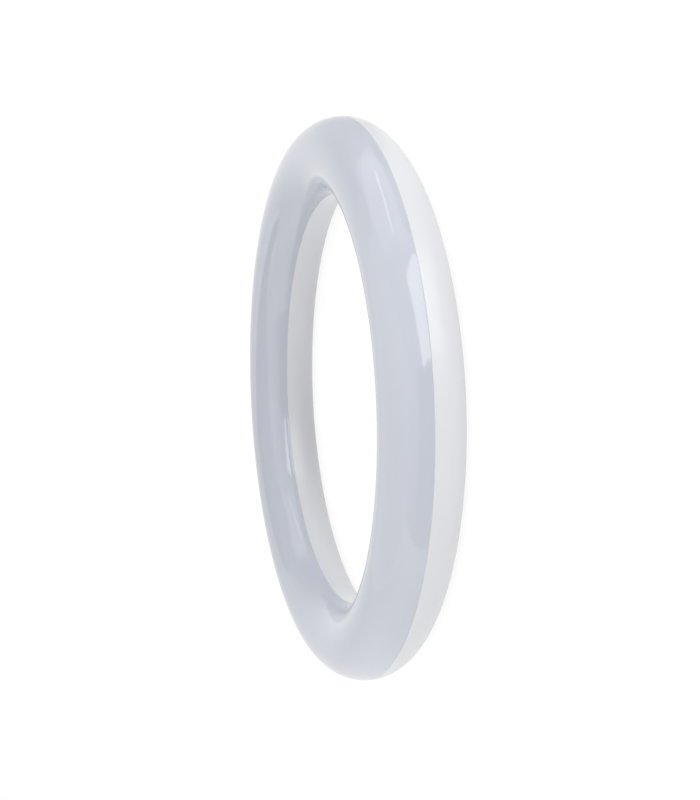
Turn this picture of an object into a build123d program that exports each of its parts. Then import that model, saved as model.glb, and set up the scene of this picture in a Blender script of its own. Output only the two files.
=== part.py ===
"""Circular LED lamp: a closed ring of round tube, parted into an opal diffuser and a white housing.

The ring lies on its back with its axis along +Z. The origin is its centre, on the plane it rests on.
+X points at the lamp cap, whose four contact pins stand out of the inner wall towards that centre.
All lengths are millimetres and all angles are degrees, counted about +Z from +X.
"""

from build123d import *
import math
import os

# Ring and tube
RING_OUTER_D = 225.0
TUBE_D = 30.0
SEAM_RISE = 0.9  # parting plane above the tube's middle
HOUSING_WALL = 1.8
DIFFUSER_WALL = 1.5
SEAM_CHAMFER = 0.2  # on both outer edges of the seam, together a fine V groove

# Tongue of the housing inside the diffuser's rim
TONGUE_THICKNESS = 1.0
TONGUE_RISE = 2.4
TONGUE_ROOT = 2.0
TONGUE_CLEARANCE = 0.15

# Light boards, one for each quarter of the ring
BOARD_COUNT = 4
BOARD_THICKNESS = 1.2
BOARD_DROP = 1.0  # underside below the tube's middle
BOARD_CLEARANCE = 1.3  # edge to tongue root
BOARD_GAP = 0.5  # between neighbouring boards
LEDS_PER_BOARD = 18
LED_LENGTH = 3.5
LED_WIDTH = 2.8
LED_HEIGHT = 0.7
LED_CORNER = 0.7  # cut corner that marks the cathode
LINK_LENGTH = 5.0
LINK_WIDTH = 1.4
LINK_HEIGHT = 0.4
LINK_OFFSET = 6.0  # from the middle of the board to each link

# Supports under the boards
RIB_COUNT = 12
RIB_THICKNESS = 1.4
RIB_LAND = 2.5  # of board edge carried by a rib
BOSS_D = 5.0
BOSS_AFTER_LEDS = 2  # packages between a screw and the end of its board
SCREW_D = 2.2
SCREW_LENGTH = 6.0
SCREW_HEAD_D = 4.0
SCREW_HEAD_HEIGHT = 1.5
SCREW_HEAD_BEVEL = 0.7
SCREW_CLEARANCE = 0.05  # round a shank in its pilot hole
SCREW_TIP_GAP = 0.3  # below a screw in its pilot hole
BOARD_HOLE_CLEARANCE = 0.25  # round a shank in a board

# Driver board in the trough below the first light board
DRIVER_THICKNESS = 1.2
DRIVER_STANDOFF = 1.8  # underside above the housing's floor
DRIVER_EDGE_GAP = 0.6
DRIVER_SCREW_SKIN = 1.0  # of housing left below a screw's pilot hole
STATION_GAP = 0.8  # between neighbours along the board
PAD_LENGTH = 3.0
COMPONENT_LIFT = 0.1  # under a part that lies on its side

# Parts on the driver board; a length runs along the tube and a width across it
FUSE_D = 3.0
FUSE_BEAD_D = 3.4
FUSE_BEAD_LENGTH = 1.8
FUSE_LENGTH = 8.0
FUSE_OFFSET = -3.0
VARISTOR_D = 6.2
VARISTOR_THICKNESS = 3.2
VARISTOR_BEVEL = 0.7
VARISTOR_OFFSET = 2.8
FILM_CAP_LENGTH = 8.0
FILM_CAP_WIDTH = 4.5
FILM_CAP_HEIGHT = 6.4
FILM_CAP_BEVEL = 0.5
CHOKE_D = 6.0
CHOKE_HEIGHT = 6.4
CHOKE_FLANGE = 1.0
CHOKE_WINDING_D = 5.2
RECTIFIER_LENGTH = 4.7
RECTIFIER_WIDTH = 4.0
RECTIFIER_LEGS = 2  # on each side
CONTROLLER_LENGTH = 4.9
CONTROLLER_WIDTH = 3.9
CONTROLLER_LEGS = 4  # on each side
CHIP_HEIGHT = 1.6
CHIP_LIFT = 0.2
LEG_LENGTH = 0.4
LEG_REACH = 1.0
LEG_HEIGHT = 0.7
BULK_CAP_D = 6.3
BULK_CAP_LENGTH = 12.0
OUTPUT_CAP_D = 5.0
OUTPUT_CAP_LENGTH = 9.0
OUTPUT_CAP_OFFSET = 2.6
CAN_BEVEL = 0.4
CAN_CRIMP_DEPTH = 0.4  # of the groove rolled into the can
CAN_CRIMP_WIDTH = 0.9
CAN_CRIMP_FROM_BASE = 1.8
CORE_LENGTH = 9.0
CORE_WIDTH = 8.5
CORE_THICKNESS = 3.6
CORE_LEG = 3.0  # width of the middle leg
CORE_SIDE = 1.2  # width of each outer leg
CORE_YOKE = 1.8
WINDING_HEIGHT = 6.4
WINDING_ROUND = 1.0
DIODE_LENGTH = 4.3
DIODE_WIDTH = 2.6
DIODE_HEIGHT = 2.1
DIODE_OFFSET = -3.0
RESISTOR_LENGTH = 2.0
RESISTOR_WIDTH = 1.2
RESISTOR_HEIGHT = 0.6
RESISTOR_EDGE = 0.3

# Lamp cap in a collar on the inner wall
COLLAR_WIDTH = 26.0
COLLAR_HEIGHT = 12.6
COLLAR_WALL = 1.4
COLLAR_REACH = 8.0  # inwards from the ring's inner wall
COLLAR_BELOW_SEAM = 0.8
COLLAR_CORNER = 1.6
COLLAR_RIM_BEVEL = 0.5
CARRIER_THICKNESS = 3.0
CARRIER_CLEARANCE = 0.1
CARRIER_LEDGE = 4.0  # seat at each end of the carrier
CARRIER_SCREW_LENGTH = 6.0
CARRIER_SCREW_HEAD_HEIGHT = 1.2
PIN_D = 2.4
PIN_SHANK_D = 2.0  # through the carrier, whose face takes the pin's shoulder
PIN_REACH = 7.5
PIN_TAIL = 2.0  # behind the carrier
PIN_TIP_BEVEL = 0.6
PIN_SPACING_Y = 7.92
PIN_SPACING_Z = 6.35

# Leads
LEAD_D = 1.3
LEAD_RUN = 6.0  # straight run behind a contact pin
LEAD_RISE = 2.2  # above the driver board before it turns down to its pad
LEAD_PAD_OFFSET = 3.5
LEAD_BEND_SHARE = 0.45  # of the shorter run beside a bend
LIVE_WAYPOINTS = [(6.0, -4.0), (14.0, -4.2)]  # degrees round the ring, offset from the tube's middle
NEUTRAL_WAYPOINTS = [(2.0, 3.0), (9.0, 5.0)]
OUTPUT_PIN_D = 1.0
OUTPUT_PIN_OFFSET = 4.5
OUTPUT_PIN_PROUD = 0.6  # above the light board
OUTPUT_HOLE_CLEARANCE = 0.2

# Worked out from the sizes above
TUBE_R = TUBE_D / 2
RING_R = RING_OUTER_D / 2 - TUBE_R
RING_INNER_R = RING_R - TUBE_R
MID_Z = TUBE_R
SEAM_Z = MID_Z + SEAM_RISE
TROUGH_R = TUBE_R - HOUSING_WALL
TONGUE_OUTER_R = TUBE_R - DIFFUSER_WALL - TONGUE_CLEARANCE
TONGUE_INNER_R = TONGUE_OUTER_R - TONGUE_THICKNESS
BOARD_Z = MID_Z - BOARD_DROP
BOARD_TOP = BOARD_Z + BOARD_THICKNESS
BOARD_HALF = math.sqrt(TONGUE_INNER_R**2 - BOARD_DROP**2) - BOARD_CLEARANCE
BOARD_SWEEP = 360 / BOARD_COUNT
LED_PITCH = BOARD_SWEEP / LEDS_PER_BOARD
BOSS_ANGLES = [
    board * BOARD_SWEEP + turn
    for board in range(BOARD_COUNT)
    for turn in (BOSS_AFTER_LEDS * LED_PITCH, BOARD_SWEEP - BOSS_AFTER_LEDS * LED_PITCH)
]
RIB_PITCH = 360 / RIB_COUNT
RIB_ANGLES = [(rib + 0.5) * RIB_PITCH for rib in range(RIB_COUNT)]
DRIVER_Z = HOUSING_WALL + DRIVER_STANDOFF
DRIVER_TOP = DRIVER_Z + DRIVER_THICKNESS
DRIVER_SCREW_LENGTH = DRIVER_TOP - DRIVER_SCREW_SKIN - SCREW_TIP_GAP
DRIVER_HALF = math.sqrt(TROUGH_R**2 - (MID_Z - DRIVER_Z) ** 2) - DRIVER_EDGE_GAP
STATIONS = {
    "input_pads": PAD_LENGTH,
    "first_screw": SCREW_HEAD_D,
    "fuse": max(FUSE_LENGTH, VARISTOR_D),
    "film_capacitor": FILM_CAP_LENGTH,
    "choke": CHOKE_D,
    "rectifier": RECTIFIER_LENGTH,
    "bulk_capacitor": BULK_CAP_LENGTH,
    "controller": CONTROLLER_LENGTH,
    "transformer": CORE_LENGTH,
    "output": max(OUTPUT_CAP_LENGTH, DIODE_LENGTH),
    "second_screw": SCREW_HEAD_D,
    "output_pads": PAD_LENGTH,
}
DRIVER_LENGTH = sum(STATIONS.values()) + STATION_GAP * (len(STATIONS) - 1)
DRIVER_SWEEP = math.degrees(DRIVER_LENGTH / RING_R)
DRIVER_START = (BOARD_SWEEP - DRIVER_SWEEP) / 2
DRIVER_SCREW_STATIONS = ("first_screw", "second_screw")
COLLAR_X = RING_INNER_R - COLLAR_REACH
COLLAR_Z = SEAM_Z - COLLAR_BELOW_SEAM - COLLAR_HEIGHT / 2
MOUTH_WIDTH = COLLAR_WIDTH - 2 * COLLAR_WALL
MOUTH_HEIGHT = COLLAR_HEIGHT - 2 * COLLAR_WALL
CAVITY_WIDTH = MOUTH_WIDTH - 2 * CARRIER_LEDGE
CARRIER_SCREW_Y = (MOUTH_WIDTH - CARRIER_LEDGE) / 2
PIN_TAIL_X = COLLAR_X + CARRIER_THICKNESS + PIN_TAIL
STANDING = (Align.CENTER, Align.CENTER, Align.MIN)  # a shape placed by the middle of its base


def at_ring(angle, z, offset=0.0):
    """A place on the ring, turned so that local x points outwards and local y runs along the tube."""
    return Rot(Z=angle) * Pos(RING_R + offset, 0, z)


def station(name):
    """Angle of the middle of a station; the driver board is centred under the first light board."""
    names = list(STATIONS)
    run = sum(STATIONS[before] + STATION_GAP for before in names[: names.index(name)])
    return DRIVER_START + math.degrees((run + STATIONS[name] / 2) / RING_R)


def on_driver(name, offset=0.0):
    """A place on top of the driver board at a station."""
    return at_ring(station(name), DRIVER_TOP, offset)


def section(sketch):
    """A sketch drawn about the tube's centre, stood up in the plane that holds the ring's axis."""
    return Plane.XZ * Pos(RING_R, MID_Z) * sketch


def wall_band(outer_r, inner_r, low, high):
    """The part of a round wall between two heights, measured from the tube's centre."""
    window = Pos(0, (low + high) / 2) * Rectangle(2 * TUBE_D, high - low)
    return (Circle(outer_r) - Circle(inner_r)) & window


def bevel_seam(sketch):
    """The sketch with its two outermost corners at the seam bevelled."""
    corners = sketch.vertices().filter_by(lambda v: abs(v.Y - SEAM_RISE) < SEAM_CHAMFER)
    outer = corners.filter_by(lambda v: abs(v.X) > TUBE_R - min(HOUSING_WALL, DIFFUSER_WALL) / 2)
    return chamfer(outer, SEAM_CHAMFER)


def ring_sector(inner_r, outer_r, z, thickness, start, arc):
    """A flat curved plate with its underside at z."""
    middle = Pos((inner_r + outer_r) / 2, z + thickness / 2)
    profile = Plane.XZ * middle * Rectangle(outer_r - inner_r, thickness)
    return Rot(Z=start) * revolve(profile, axis=Axis.Z, revolution_arc=arc)


def upright(diameter, low, high):
    """A vertical cylinder on the local axis between two heights."""
    return Pos(0, 0, low) * Cylinder(diameter / 2, high - low, align=STANDING)


def pan_screw(length):
    """A pan head screw with its head's underside at the local origin and its shank along -z."""
    head = upright(SCREW_HEAD_D, 0, SCREW_HEAD_HEIGHT)
    head = chamfer(head.edges().group_by(Axis.Z)[-1], SCREW_HEAD_BEVEL)
    return head + upright(SCREW_D, -length, 0)


def diffuser():
    shell = wall_band(TUBE_R, TUBE_R - DIFFUSER_WALL, SEAM_RISE, TUBE_R)
    return revolve(section(bevel_seam(shell)), axis=Axis.Z)


def tongue_sketch():
    return wall_band(TONGUE_OUTER_R, TONGUE_INNER_R, SEAM_RISE - TONGUE_ROOT, SEAM_RISE + TONGUE_RISE)


def board_rib():
    """A pair of gussets across the trough that carry a light board by its edges."""
    half_gap = BOARD_HALF - RIB_LAND
    low = Pos(0, -BOARD_DROP) * Rectangle(2 * TUBE_D, TUBE_D, align=(Align.CENTER, Align.MAX))
    web = (Circle(TUBE_R - HOUSING_WALL / 2) & low) - Rectangle(2 * half_gap, TUBE_D)
    return extrude(section(web), RIB_THICKNESS / 2, both=True)


def screw_post(top, screw_depth):
    """A round post from the housing's floor up to a board, and the pilot hole to cut in it."""
    post = upright(BOSS_D, HOUSING_WALL / 2, top)
    return post, upright(SCREW_D + 2 * SCREW_CLEARANCE, top - screw_depth - SCREW_TIP_GAP, top)


def cap_box(width, height, near_x, far_x):
    """A block on the lamp cap's axis between two distances from the ring's axis."""
    start = Pos(near_x, 0, COLLAR_Z)
    return start * Box(far_x - near_x, width, height, align=(Align.MIN, Align.CENTER, Align.CENTER))


def cap_screw_holes(diameter, near_x, far_x):
    hole = Rot(Y=90) * upright(diameter, 0, far_x - near_x)
    return [Pos(near_x, side * CARRIER_SCREW_Y, COLLAR_Z) * hole for side in (-1, 1)]


def trough_ring():
    """All the space inside the housing's round wall."""
    return revolve(section(Circle(TROUGH_R)), axis=Axis.Z)


def cap_collar():
    """The collar round the lamp cap, from inside the tube to its mouth, still without its openings."""
    block = cap_box(COLLAR_WIDTH, COLLAR_HEIGHT, COLLAR_X, RING_R)
    block = fillet(block.edges().filter_by(Axis.X), COLLAR_CORNER)
    block = chamfer(block.faces().sort_by(Axis.X)[0].edges(), COLLAR_RIM_BEVEL)
    return block - trough_ring()


def housing():
    shell = wall_band(TUBE_R, TROUGH_R, -TUBE_R, SEAM_RISE)
    body = revolve(section(bevel_seam(shell + tongue_sketch())), axis=Axis.Z)
    rib = board_rib()
    body += [Rot(Z=angle) * rib for angle in RIB_ANGLES]
    post, pilot = screw_post(BOARD_Z, SCREW_LENGTH - BOARD_THICKNESS)
    body += [at_ring(angle, 0) * post for angle in BOSS_ANGLES]
    body -= [at_ring(angle, 0) * pilot for angle in BOSS_ANGLES]
    post, pilot = screw_post(DRIVER_Z, DRIVER_SCREW_LENGTH - DRIVER_THICKNESS)
    body += [at_ring(station(name), 0) * post for name in DRIVER_SCREW_STATIONS]
    body -= [at_ring(station(name), 0) * pilot for name in DRIVER_SCREW_STATIONS]
    body += cap_collar()
    seat_x = COLLAR_X + CARRIER_THICKNESS
    body -= cap_box(MOUTH_WIDTH, MOUTH_HEIGHT, COLLAR_X, seat_x)
    body -= cap_box(CAVITY_WIDTH, MOUTH_HEIGHT, seat_x, RING_R)
    pilot_end = COLLAR_X + CARRIER_SCREW_LENGTH + SCREW_TIP_GAP
    body -= cap_screw_holes(SCREW_D + 2 * SCREW_CLEARANCE, seat_x, pilot_end)
    return body


def light_board(index):
    half_gap = math.degrees(BOARD_GAP / 2 / RING_R)
    start = index * BOARD_SWEEP + half_gap
    arc = BOARD_SWEEP - 2 * half_gap
    plate = ring_sector(RING_R - BOARD_HALF, RING_R + BOARD_HALF, BOARD_Z, BOARD_THICKNESS, start, arc)
    screw_hole = upright(SCREW_D + 2 * BOARD_HOLE_CLEARANCE, BOARD_Z, BOARD_TOP)
    plate -= [at_ring(angle, 0) * screw_hole for angle in BOSS_ANGLES]
    if index == 0:
        lead_hole = upright(OUTPUT_PIN_D + 2 * OUTPUT_HOLE_CLEARANCE, BOARD_Z, BOARD_TOP)
        plate -= [at_ring(station("output_pads"), 0, offset) * lead_hole for offset in output_offsets()]
    return plate


def output_offsets():
    return (-OUTPUT_PIN_OFFSET, OUTPUT_PIN_OFFSET)


def led_row(index):
    """The packages on one light board, each a low block with one cut corner."""
    outline = Rectangle(LED_LENGTH, LED_WIDTH)
    outline = chamfer(outline.vertices().group_by(Axis.X)[-1].sort_by(Axis.Y)[-1], LED_CORNER)
    package = extrude(outline, LED_HEIGHT)
    first = index * BOARD_SWEEP + LED_PITCH / 2
    return [at_ring(first + led * LED_PITCH, BOARD_TOP) * package for led in range(LEDS_PER_BOARD)]


def board_links():
    """Flat tinned bars that carry both supply lines from board to board, with none over the lamp cap."""
    bar = standing_block(LINK_WIDTH, LINK_LENGTH, LINK_HEIGHT)
    return [
        at_ring(board * BOARD_SWEEP, BOARD_TOP, offset) * bar
        for board in range(1, BOARD_COUNT)
        for offset in (-LINK_OFFSET, LINK_OFFSET)
    ]


def board_screws():
    return [at_ring(angle, BOARD_TOP) * pan_screw(SCREW_LENGTH) for angle in BOSS_ANGLES]


def driver_screws():
    return [on_driver(name) * pan_screw(DRIVER_SCREW_LENGTH) for name in DRIVER_SCREW_STATIONS]


def driver_board():
    inner_r, outer_r = RING_R - DRIVER_HALF, RING_R + DRIVER_HALF
    plate = ring_sector(inner_r, outer_r, DRIVER_Z, DRIVER_THICKNESS, DRIVER_START, DRIVER_SWEEP)
    hole = upright(SCREW_D + 2 * BOARD_HOLE_CLEARANCE, DRIVER_Z, DRIVER_TOP)
    return plate - [at_ring(station(name), 0) * hole for name in DRIVER_SCREW_STATIONS]


def lying_rod(diameter, length, lift=COMPONENT_LIFT):
    """A cylinder along the tube that lies just clear of the board."""
    return Pos(0, 0, lift + diameter / 2) * Rot(X=90) * Cylinder(diameter / 2, length)


def standing_block(width, length, height):
    return Box(width, length, height, align=STANDING)


def fuse():
    """A fusible resistor with a bead at each end of its body."""
    lift = COMPONENT_LIFT + (FUSE_BEAD_D - FUSE_D) / 2
    bead = lying_rod(FUSE_BEAD_D, FUSE_BEAD_LENGTH)
    bead_y = (FUSE_LENGTH - FUSE_BEAD_LENGTH) / 2
    body = lying_rod(FUSE_D, FUSE_LENGTH, lift) + [Pos(0, side * bead_y) * bead for side in (-1, 1)]
    return on_driver("fuse", FUSE_OFFSET) * body


def varistor():
    disc = Cylinder(VARISTOR_D / 2, VARISTOR_THICKNESS)
    disc = chamfer(disc.edges().filter_by(GeomType.CIRCLE), VARISTOR_BEVEL)
    upright_disc = Pos(0, 0, COMPONENT_LIFT + VARISTOR_D / 2) * Rot(Y=90) * disc
    return on_driver("fuse", VARISTOR_OFFSET) * upright_disc


def film_capacitor():
    block = standing_block(FILM_CAP_WIDTH, FILM_CAP_LENGTH, FILM_CAP_HEIGHT)
    upper = block.edges().filter_by(Axis.Z) + block.edges().group_by(Axis.Z)[-1]
    return on_driver("film_capacitor") * chamfer(upper, FILM_CAP_BEVEL)


def filter_choke():
    """A drum choke: two flanges with the winding between them."""
    drum = upright(CHOKE_D, 0, CHOKE_FLANGE)
    drum += upright(CHOKE_WINDING_D, CHOKE_FLANGE, CHOKE_HEIGHT - CHOKE_FLANGE)
    drum += upright(CHOKE_D, CHOKE_HEIGHT - CHOKE_FLANGE, CHOKE_HEIGHT)
    return on_driver("choke") * drum


def chip(width, length, legs):
    """A moulded package on legs along both of its long sides."""
    body = Pos(0, 0, CHIP_LIFT) * standing_block(width, length, CHIP_HEIGHT - CHIP_LIFT)
    bar = standing_block(width + 2 * LEG_REACH, LEG_LENGTH, LEG_HEIGHT)
    bar -= standing_block(width, LEG_LENGTH, CHIP_LIFT)
    pitch = length / legs
    return body + [Pos(0, (leg + 0.5) * pitch - length / 2) * bar for leg in range(legs)]


def electrolytic(diameter, length):
    """A can that lies along the tube, with the groove rolled in near its base."""
    can = Cylinder(diameter / 2, length)
    can = chamfer(can.edges().filter_by(GeomType.CIRCLE), CAN_BEVEL)
    crimp = Cylinder(diameter, CAN_CRIMP_WIDTH) - Cylinder(diameter / 2 - CAN_CRIMP_DEPTH, CAN_CRIMP_WIDTH)
    can -= Pos(0, 0, CAN_CRIMP_FROM_BASE - length / 2) * crimp
    return Pos(0, 0, COMPONENT_LIFT + diameter / 2) * Rot(X=90) * can


def transformer_core():
    """Two E halves laid flat, seen here as one frame with a middle leg."""
    frame = Box(CORE_WIDTH, CORE_LENGTH, CORE_THICKNESS)
    window_width = (CORE_WIDTH - CORE_LEG) / 2 - CORE_SIDE
    window = Box(window_width, CORE_LENGTH - 2 * CORE_YOKE, CORE_THICKNESS)
    shift = (CORE_LEG + window_width) / 2
    frame -= [Pos(side * shift) * window for side in (-1, 1)]
    return on_driver("transformer") * Pos(0, 0, WINDING_HEIGHT / 2) * frame


def transformer_winding():
    """The wound bobbin round the middle leg, which stands on the board and carries the core."""
    coil = Box(CORE_WIDTH - 2 * CORE_SIDE, CORE_LENGTH - 2 * CORE_YOKE, WINDING_HEIGHT)
    coil = fillet(coil.edges().filter_by(Axis.Y), WINDING_ROUND)
    coil -= Box(CORE_LEG, CORE_LENGTH - 2 * CORE_YOKE, CORE_THICKNESS)
    return on_driver("transformer") * Pos(0, 0, WINDING_HEIGHT / 2) * coil


def output_capacitor():
    return on_driver("output", OUTPUT_CAP_OFFSET) * electrolytic(OUTPUT_CAP_D, OUTPUT_CAP_LENGTH)


def output_diode():
    return on_driver("output", DIODE_OFFSET) * standing_block(DIODE_WIDTH, DIODE_LENGTH, DIODE_HEIGHT)


def chip_resistors():
    block = standing_block(RESISTOR_WIDTH, RESISTOR_LENGTH, RESISTOR_HEIGHT)
    offset = DRIVER_HALF - RESISTOR_EDGE - RESISTOR_WIDTH / 2
    return [
        on_driver(name, side * offset) * block
        for name in ("rectifier", "controller")
        for side in (-1, 1)
    ]


def output_pins():
    """Two stiff pins that carry the driver's output up through the first light board."""
    pin = upright(OUTPUT_PIN_D, DRIVER_TOP, BOARD_TOP + OUTPUT_PIN_PROUD)
    return [at_ring(station("output_pads"), 0, offset) * pin for offset in output_offsets()]


def pin_carrier():
    width, height = MOUTH_WIDTH - 2 * CARRIER_CLEARANCE, MOUTH_HEIGHT - 2 * CARRIER_CLEARANCE
    back_x = COLLAR_X + CARRIER_THICKNESS
    plate = cap_box(width, height, COLLAR_X, back_x)
    plate -= cap_screw_holes(SCREW_D + 2 * BOARD_HOLE_CLEARANCE, COLLAR_X, back_x)
    plate -= countersinks(BOARD_HOLE_CLEARANCE)
    return plate - [place * pin_blank() for place in pin_places()]


def countersinks(clearance):
    """Cones under the heads of the carrier's screws, widened by a clearance."""
    cone = Cone(
        SCREW_HEAD_D / 2 + clearance,
        SCREW_D / 2 + clearance,
        CARRIER_SCREW_HEAD_HEIGHT,
        align=STANDING,
    )
    return [Pos(COLLAR_X, side * CARRIER_SCREW_Y, COLLAR_Z) * Rot(Y=90) * cone for side in (-1, 1)]


def carrier_screws():
    shanks = cap_screw_holes(SCREW_D, COLLAR_X, COLLAR_X + CARRIER_SCREW_LENGTH)
    return [head + shank for head, shank in zip(countersinks(0), shanks)]


def pin_places():
    return [
        Pos(0, side_y * PIN_SPACING_Y / 2, COLLAR_Z + side_z * PIN_SPACING_Z / 2)
        for side_y in (-1, 1)
        for side_z in (-1, 1)
    ]


def pin_blank():
    """A contact pin along x: tip towards the ring's centre, shoulder on the carrier, tail in the collar."""
    tip = upright(PIN_D, -PIN_REACH, 0)
    tip = chamfer(tip.edges().group_by(Axis.Z)[0], PIN_TIP_BEVEL)
    shank = upright(PIN_SHANK_D, 0, PIN_TAIL_X - COLLAR_X)
    return Pos(COLLAR_X, 0, 0) * Rot(Y=90) * (tip + shank)


def contact_pins():
    return [place * pin_blank() for place in pin_places()]


def ring_point(angle, offset, z):
    return Vector(at_ring(angle, z, offset).position)


def lead(side, waypoints):
    """An insulated wire from a contact pin's tail to its pad on the driver board, with round bends."""
    pin_z = COLLAR_Z - PIN_SPACING_Z / 2
    start = Vector(PIN_TAIL_X, side * PIN_SPACING_Y / 2, pin_z)
    over_pad = ring_point(station("input_pads"), -side * LEAD_PAD_OFFSET, DRIVER_TOP + LEAD_RISE)
    points = [start, start + Vector(LEAD_RUN, 0, 0)]
    points += [ring_point(angle, offset, pin_z) for angle, offset in waypoints]
    points += [over_pad, over_pad - Vector(0, 0, LEAD_RISE)]
    runs = [after - before for before, after in zip(points, points[1:])]
    radii = [
        LEAD_BEND_SHARE * min(one.length, two.length) / math.tan(math.radians(one.get_angle(two)) / 2)
        for one, two in zip(runs, runs[1:])
    ]
    route = FilletPolyline(*points, radius=radii)
    return sweep(Plane(origin=route @ 0, z_dir=route % 0) * Circle(LEAD_D / 2), path=route)


parts = {
    "diffuser": diffuser(),
    "housing": housing(),
    "board_links": board_links(),
    "board_screws": board_screws(),
    "driver_board": driver_board(),
    "driver_screws": driver_screws(),
    "fuse": fuse(),
    "varistor": varistor(),
    "film_capacitor": film_capacitor(),
    "filter_choke": filter_choke(),
    "bridge_rectifier": on_driver("rectifier") * chip(RECTIFIER_WIDTH, RECTIFIER_LENGTH, RECTIFIER_LEGS),
    "bulk_capacitor": on_driver("bulk_capacitor") * electrolytic(BULK_CAP_D, BULK_CAP_LENGTH),
    "controller": on_driver("controller") * chip(CONTROLLER_WIDTH, CONTROLLER_LENGTH, CONTROLLER_LEGS),
    "transformer_core": transformer_core(),
    "transformer_winding": transformer_winding(),
    "output_diode": output_diode(),
    "output_capacitor": output_capacitor(),
    "chip_resistors": chip_resistors(),
    "output_pins": output_pins(),
    "lead_live": lead(1, LIVE_WAYPOINTS),
    "lead_neutral": lead(-1, NEUTRAL_WAYPOINTS),
    "pin_carrier": pin_carrier(),
    "contact_pins": contact_pins(),
    "carrier_screws": carrier_screws(),
}
for index in range(BOARD_COUNT):
    parts[f"light_board_{index + 1}"] = light_board(index)
    parts[f"led_row_{index + 1}"] = led_row(index)

os.makedirs("parts", exist_ok=True)
for name, shape in parts.items():
    export_step(Compound(shape) if isinstance(shape, list) else shape, f"parts/{name}.step")
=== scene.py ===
import math

import bpy
from mathutils import Matrix, Vector


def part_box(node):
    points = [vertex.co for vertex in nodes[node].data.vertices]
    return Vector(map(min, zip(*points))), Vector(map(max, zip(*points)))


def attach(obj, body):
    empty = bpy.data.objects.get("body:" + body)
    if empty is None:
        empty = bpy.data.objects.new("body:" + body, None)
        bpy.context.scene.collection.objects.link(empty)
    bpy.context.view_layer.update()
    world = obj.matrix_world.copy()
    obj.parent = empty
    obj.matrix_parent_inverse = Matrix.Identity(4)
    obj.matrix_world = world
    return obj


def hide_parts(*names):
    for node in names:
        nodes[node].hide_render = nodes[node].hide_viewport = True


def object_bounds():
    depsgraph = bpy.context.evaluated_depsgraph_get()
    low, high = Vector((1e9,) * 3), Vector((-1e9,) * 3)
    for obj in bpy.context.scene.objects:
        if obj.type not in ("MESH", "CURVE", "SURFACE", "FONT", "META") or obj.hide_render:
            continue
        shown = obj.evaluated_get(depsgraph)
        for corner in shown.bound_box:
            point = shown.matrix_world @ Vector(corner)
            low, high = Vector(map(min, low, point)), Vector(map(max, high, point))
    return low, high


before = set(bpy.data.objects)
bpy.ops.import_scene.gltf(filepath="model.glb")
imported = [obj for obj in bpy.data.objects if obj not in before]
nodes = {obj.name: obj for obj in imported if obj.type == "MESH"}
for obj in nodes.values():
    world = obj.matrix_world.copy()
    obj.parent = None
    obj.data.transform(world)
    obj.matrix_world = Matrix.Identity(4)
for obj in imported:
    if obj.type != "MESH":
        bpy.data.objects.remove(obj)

cad_low, cad_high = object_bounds()

MM = 0.001

# Sizes of the ring: its centre line, and a wall that stays inside the facets' box
RING_R = 97.5 * MM
TUBE_Z = 15.0 * MM
TUBE_R = min(cad_high.z - TUBE_Z, TUBE_Z - cad_low.z)
SEAM_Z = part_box("diffuser")[0].z
CARRIER_LOW, CARRIER_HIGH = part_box("pin_carrier")

# Smooth outer walls laid over the facets of the two mouldings
WALL_SKIN = 0.9 * MM  # thickness of the smooth wall, inside the moulding's own wall
FACET_SINK = 0.12 * MM  # how far the moulding's own outer facets go below the smooth wall
SEAM_LAND = 0.22 * MM  # strip beside the seam that keeps the moulding's own bevelled edge
LAND_MARGIN = 1.2  # times that strip, within which no facet sinks
WALL_MARGIN = 0.08 * MM  # how far from the round wall a point still belongs to it
RING_SEGMENTS = 540
ARC_SEGMENTS = 44
SHARP_ANGLE = math.radians(32)

# Opening behind the pin carrier
CAP_LEDGE = 4.1 * MM  # seat of the carrier at each end of the opening
CAP_CLEARANCE = 0.1 * MM

# Pins and screws, outlines as distance along the axis and radius in millimetres
PIN_RADIUS = 1.2
PIN_OUTLINE = [
    (-7.36, 0.0), (-7.36, 0.34), (-7.46, 0.46), (-7.50, 0.60), (-7.46, 0.76), (-7.36, 0.92), (-7.20, 1.06),
    (-7.00, 1.16), (-6.78, 1.2), (-0.10, 1.2), (0.0, 1.12), (0.0, 1.0), (4.9, 1.0), (5.0, 0.9), (5.0, 0.0),
]
SCREW_HEAD_RADIUS = 2.0
SUNK_HEAD = [(0.0, 0.0), (0.0, 1.88), (0.03, 1.94), (0.09, 1.93), (1.2, 1.1)]
SUNK_THREAD_START = 1.5
SUNK_SCREW_LENGTH = 6.0
PAN_HEAD = [
    (0.0, 0.0), (0.0, 0.70), (0.06, 1.02), (0.20, 1.40), (0.42, 1.70), (0.70, 1.90), (1.0, 2.0), (1.42, 2.0),
    (1.5, 1.92), (1.5, 1.1),
]
PAN_THREAD_START = 1.8
THREAD_PITCH = 0.6
THREAD_ROOT = 0.82
THREAD_CREST = 1.1
SCREW_TIP_LENGTH = 0.7
SCREW_TIP_RADIUS = 0.35
RECESS_REACH = 1.05  # from the screw's axis
RECESS_WIDTH = 0.42
RECESS_DEPTH = 0.75
RECESS_MOUTH = 1.6  # share of the reach and width, as far outside the head as the recess is deep
RECESS_END = 0.4  # share of them at the bottom of the recess
TURNED_SEGMENTS = 40
BOARD_SCREW_TURNS = (10, 80)  # degrees from the start of a light board
AXIS_ALONG_X = (0, 0, 0)
AXIS_DOWN = (0, math.pi / 2, 0)

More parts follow.
